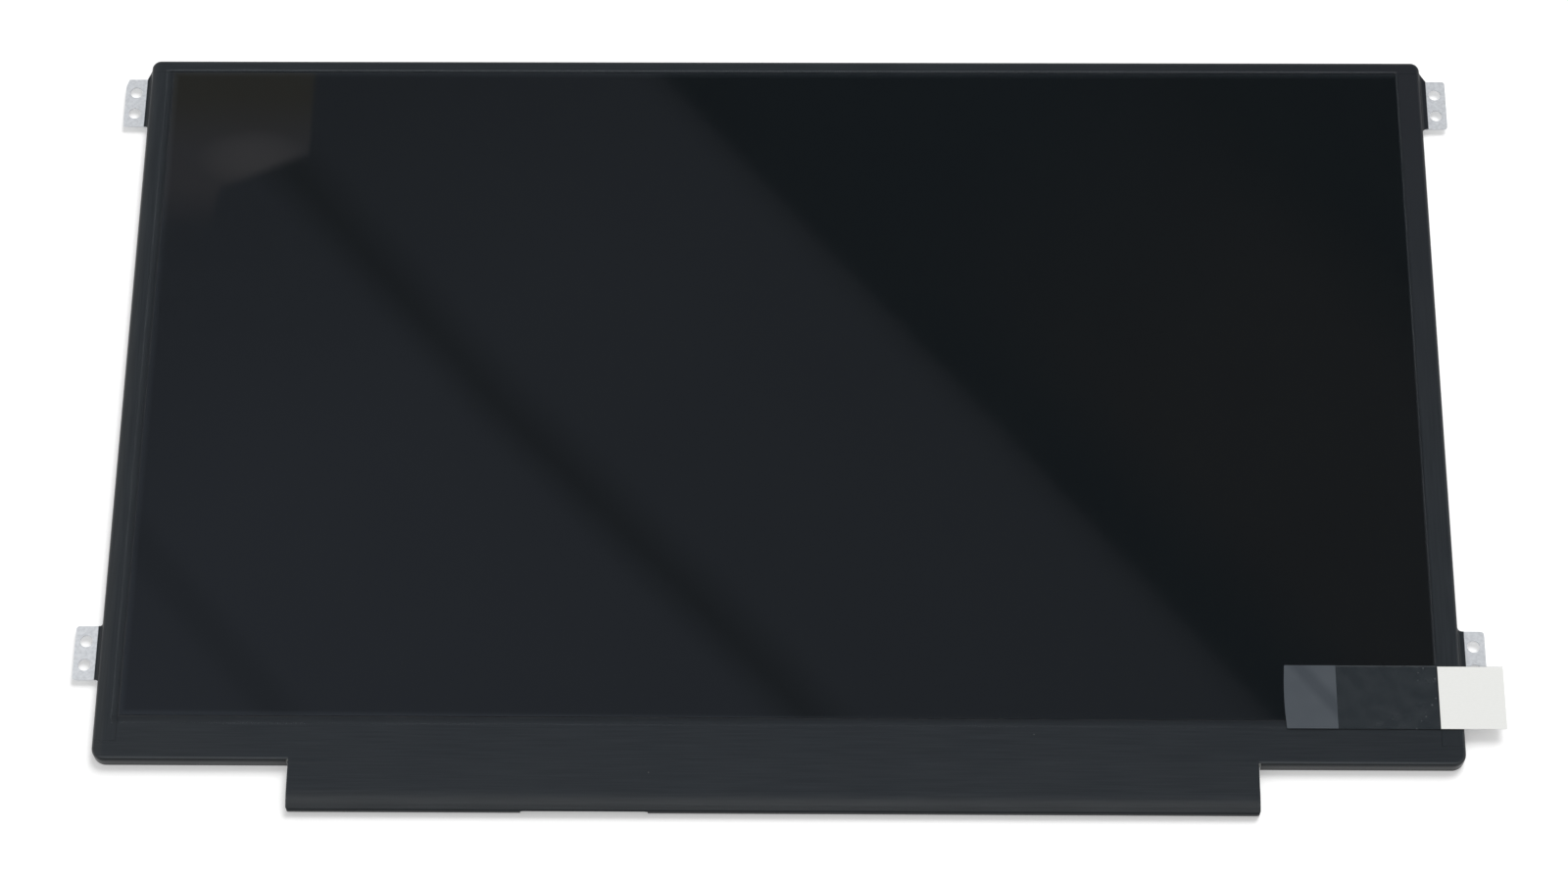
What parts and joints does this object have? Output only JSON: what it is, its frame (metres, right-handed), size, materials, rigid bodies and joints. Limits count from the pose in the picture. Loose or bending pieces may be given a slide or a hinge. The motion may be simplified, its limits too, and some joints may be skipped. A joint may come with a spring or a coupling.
{
  "type": "laptop screen panel",
  "caption": "Slim LED-backlit LCD panel for a laptop: dark glossy screen with black taped edges, pierced side ears, a circuit-board flap and a peelable protective film.",
  "frame": {"origin": "middle of the module's outline without ears and flap, on the rear face that it rests on", "axes": "+X to the right of the screen, +Y to the top of the screen, +Z out of the screen"},
  "size_m": [0.2815, 0.1672, 0.003],
  "materials": {
    "cover_metal": "satin rolled sheet",
    "frame_plastic": "moulded white polycarbonate",
    "black_tape": "matt black film",
    "reflector_white": "white film",
    "guide_acrylic": "clear acrylic",
    "optical_film": "frosted film",
    "flex_film": "amber polyimide",
    "led_package": "white package with a yellow lens",
    "panel_glass": "thin clear glass",
    "polarizer_film": "dark glossy film",
    "clear_film": "clear film",
    "patch_film": "grey frosted film",
    "grip_paper": "white coated paper",
    "board_laminate": "green solder mask",
    "chip_epoxy": "black moulded epoxy",
    "coil_ferrite": "dark ferrite",
    "cap_ceramic": "tan ceramic",
    "socket_metal": "tinned sheet",
    "socket_plastic": "natural moulded plastic",
    "contact_gold": "gold plated"
  },
  "bodies": {
    "root": {"rear_cover": "cover_metal", "frame": "frame_plastic", "seat_tape": "black_tape", "reflector_sheet": "reflector_white", "light_guide": "guide_acrylic", "diffuser_sheet": "optical_film", "lower_prism_sheet": "optical_film", "upper_prism_sheet": "optical_film", "led_strip": "flex_film", "leds": "led_package", "rear_polarizer": "polarizer_film", "array_glass": "panel_glass", "filter_glass": "panel_glass", "front_polarizer": "polarizer_film", "top_tape": "black_tape", "right_tape": "black_tape", "left_tape": "black_tape", "bottom_film": "black_tape", "circuit_board": "board_laminate", "timing_controller": "chip_epoxy", "bias_chip": "chip_epoxy", "led_driver_chip": "chip_epoxy", "memory_chip": "chip_epoxy", "fuse": "cap_ceramic", "bias_coil": "coil_ferrite", "led_coil": "coil_ferrite", "capacitors": "cap_ceramic", "socket_shell": "socket_metal", "socket_housing": "socket_plastic", "socket_contacts": "contact_gold", "protective_film": "clear_film", "tab_strip": "clear_film", "tab_patch": "patch_film", "tab_grip": "grip_paper", "source_flex_1": "flex_film", "driver_chip_1": "chip_epoxy", "source_flex_2": "flex_film", "driver_chip_2": "chip_epoxy", "source_flex_3": "flex_film", "driver_chip_3": "chip_epoxy", "source_flex_4": "flex_film", "driver_chip_4": "chip_epoxy"}
  },
  "joints": []
}
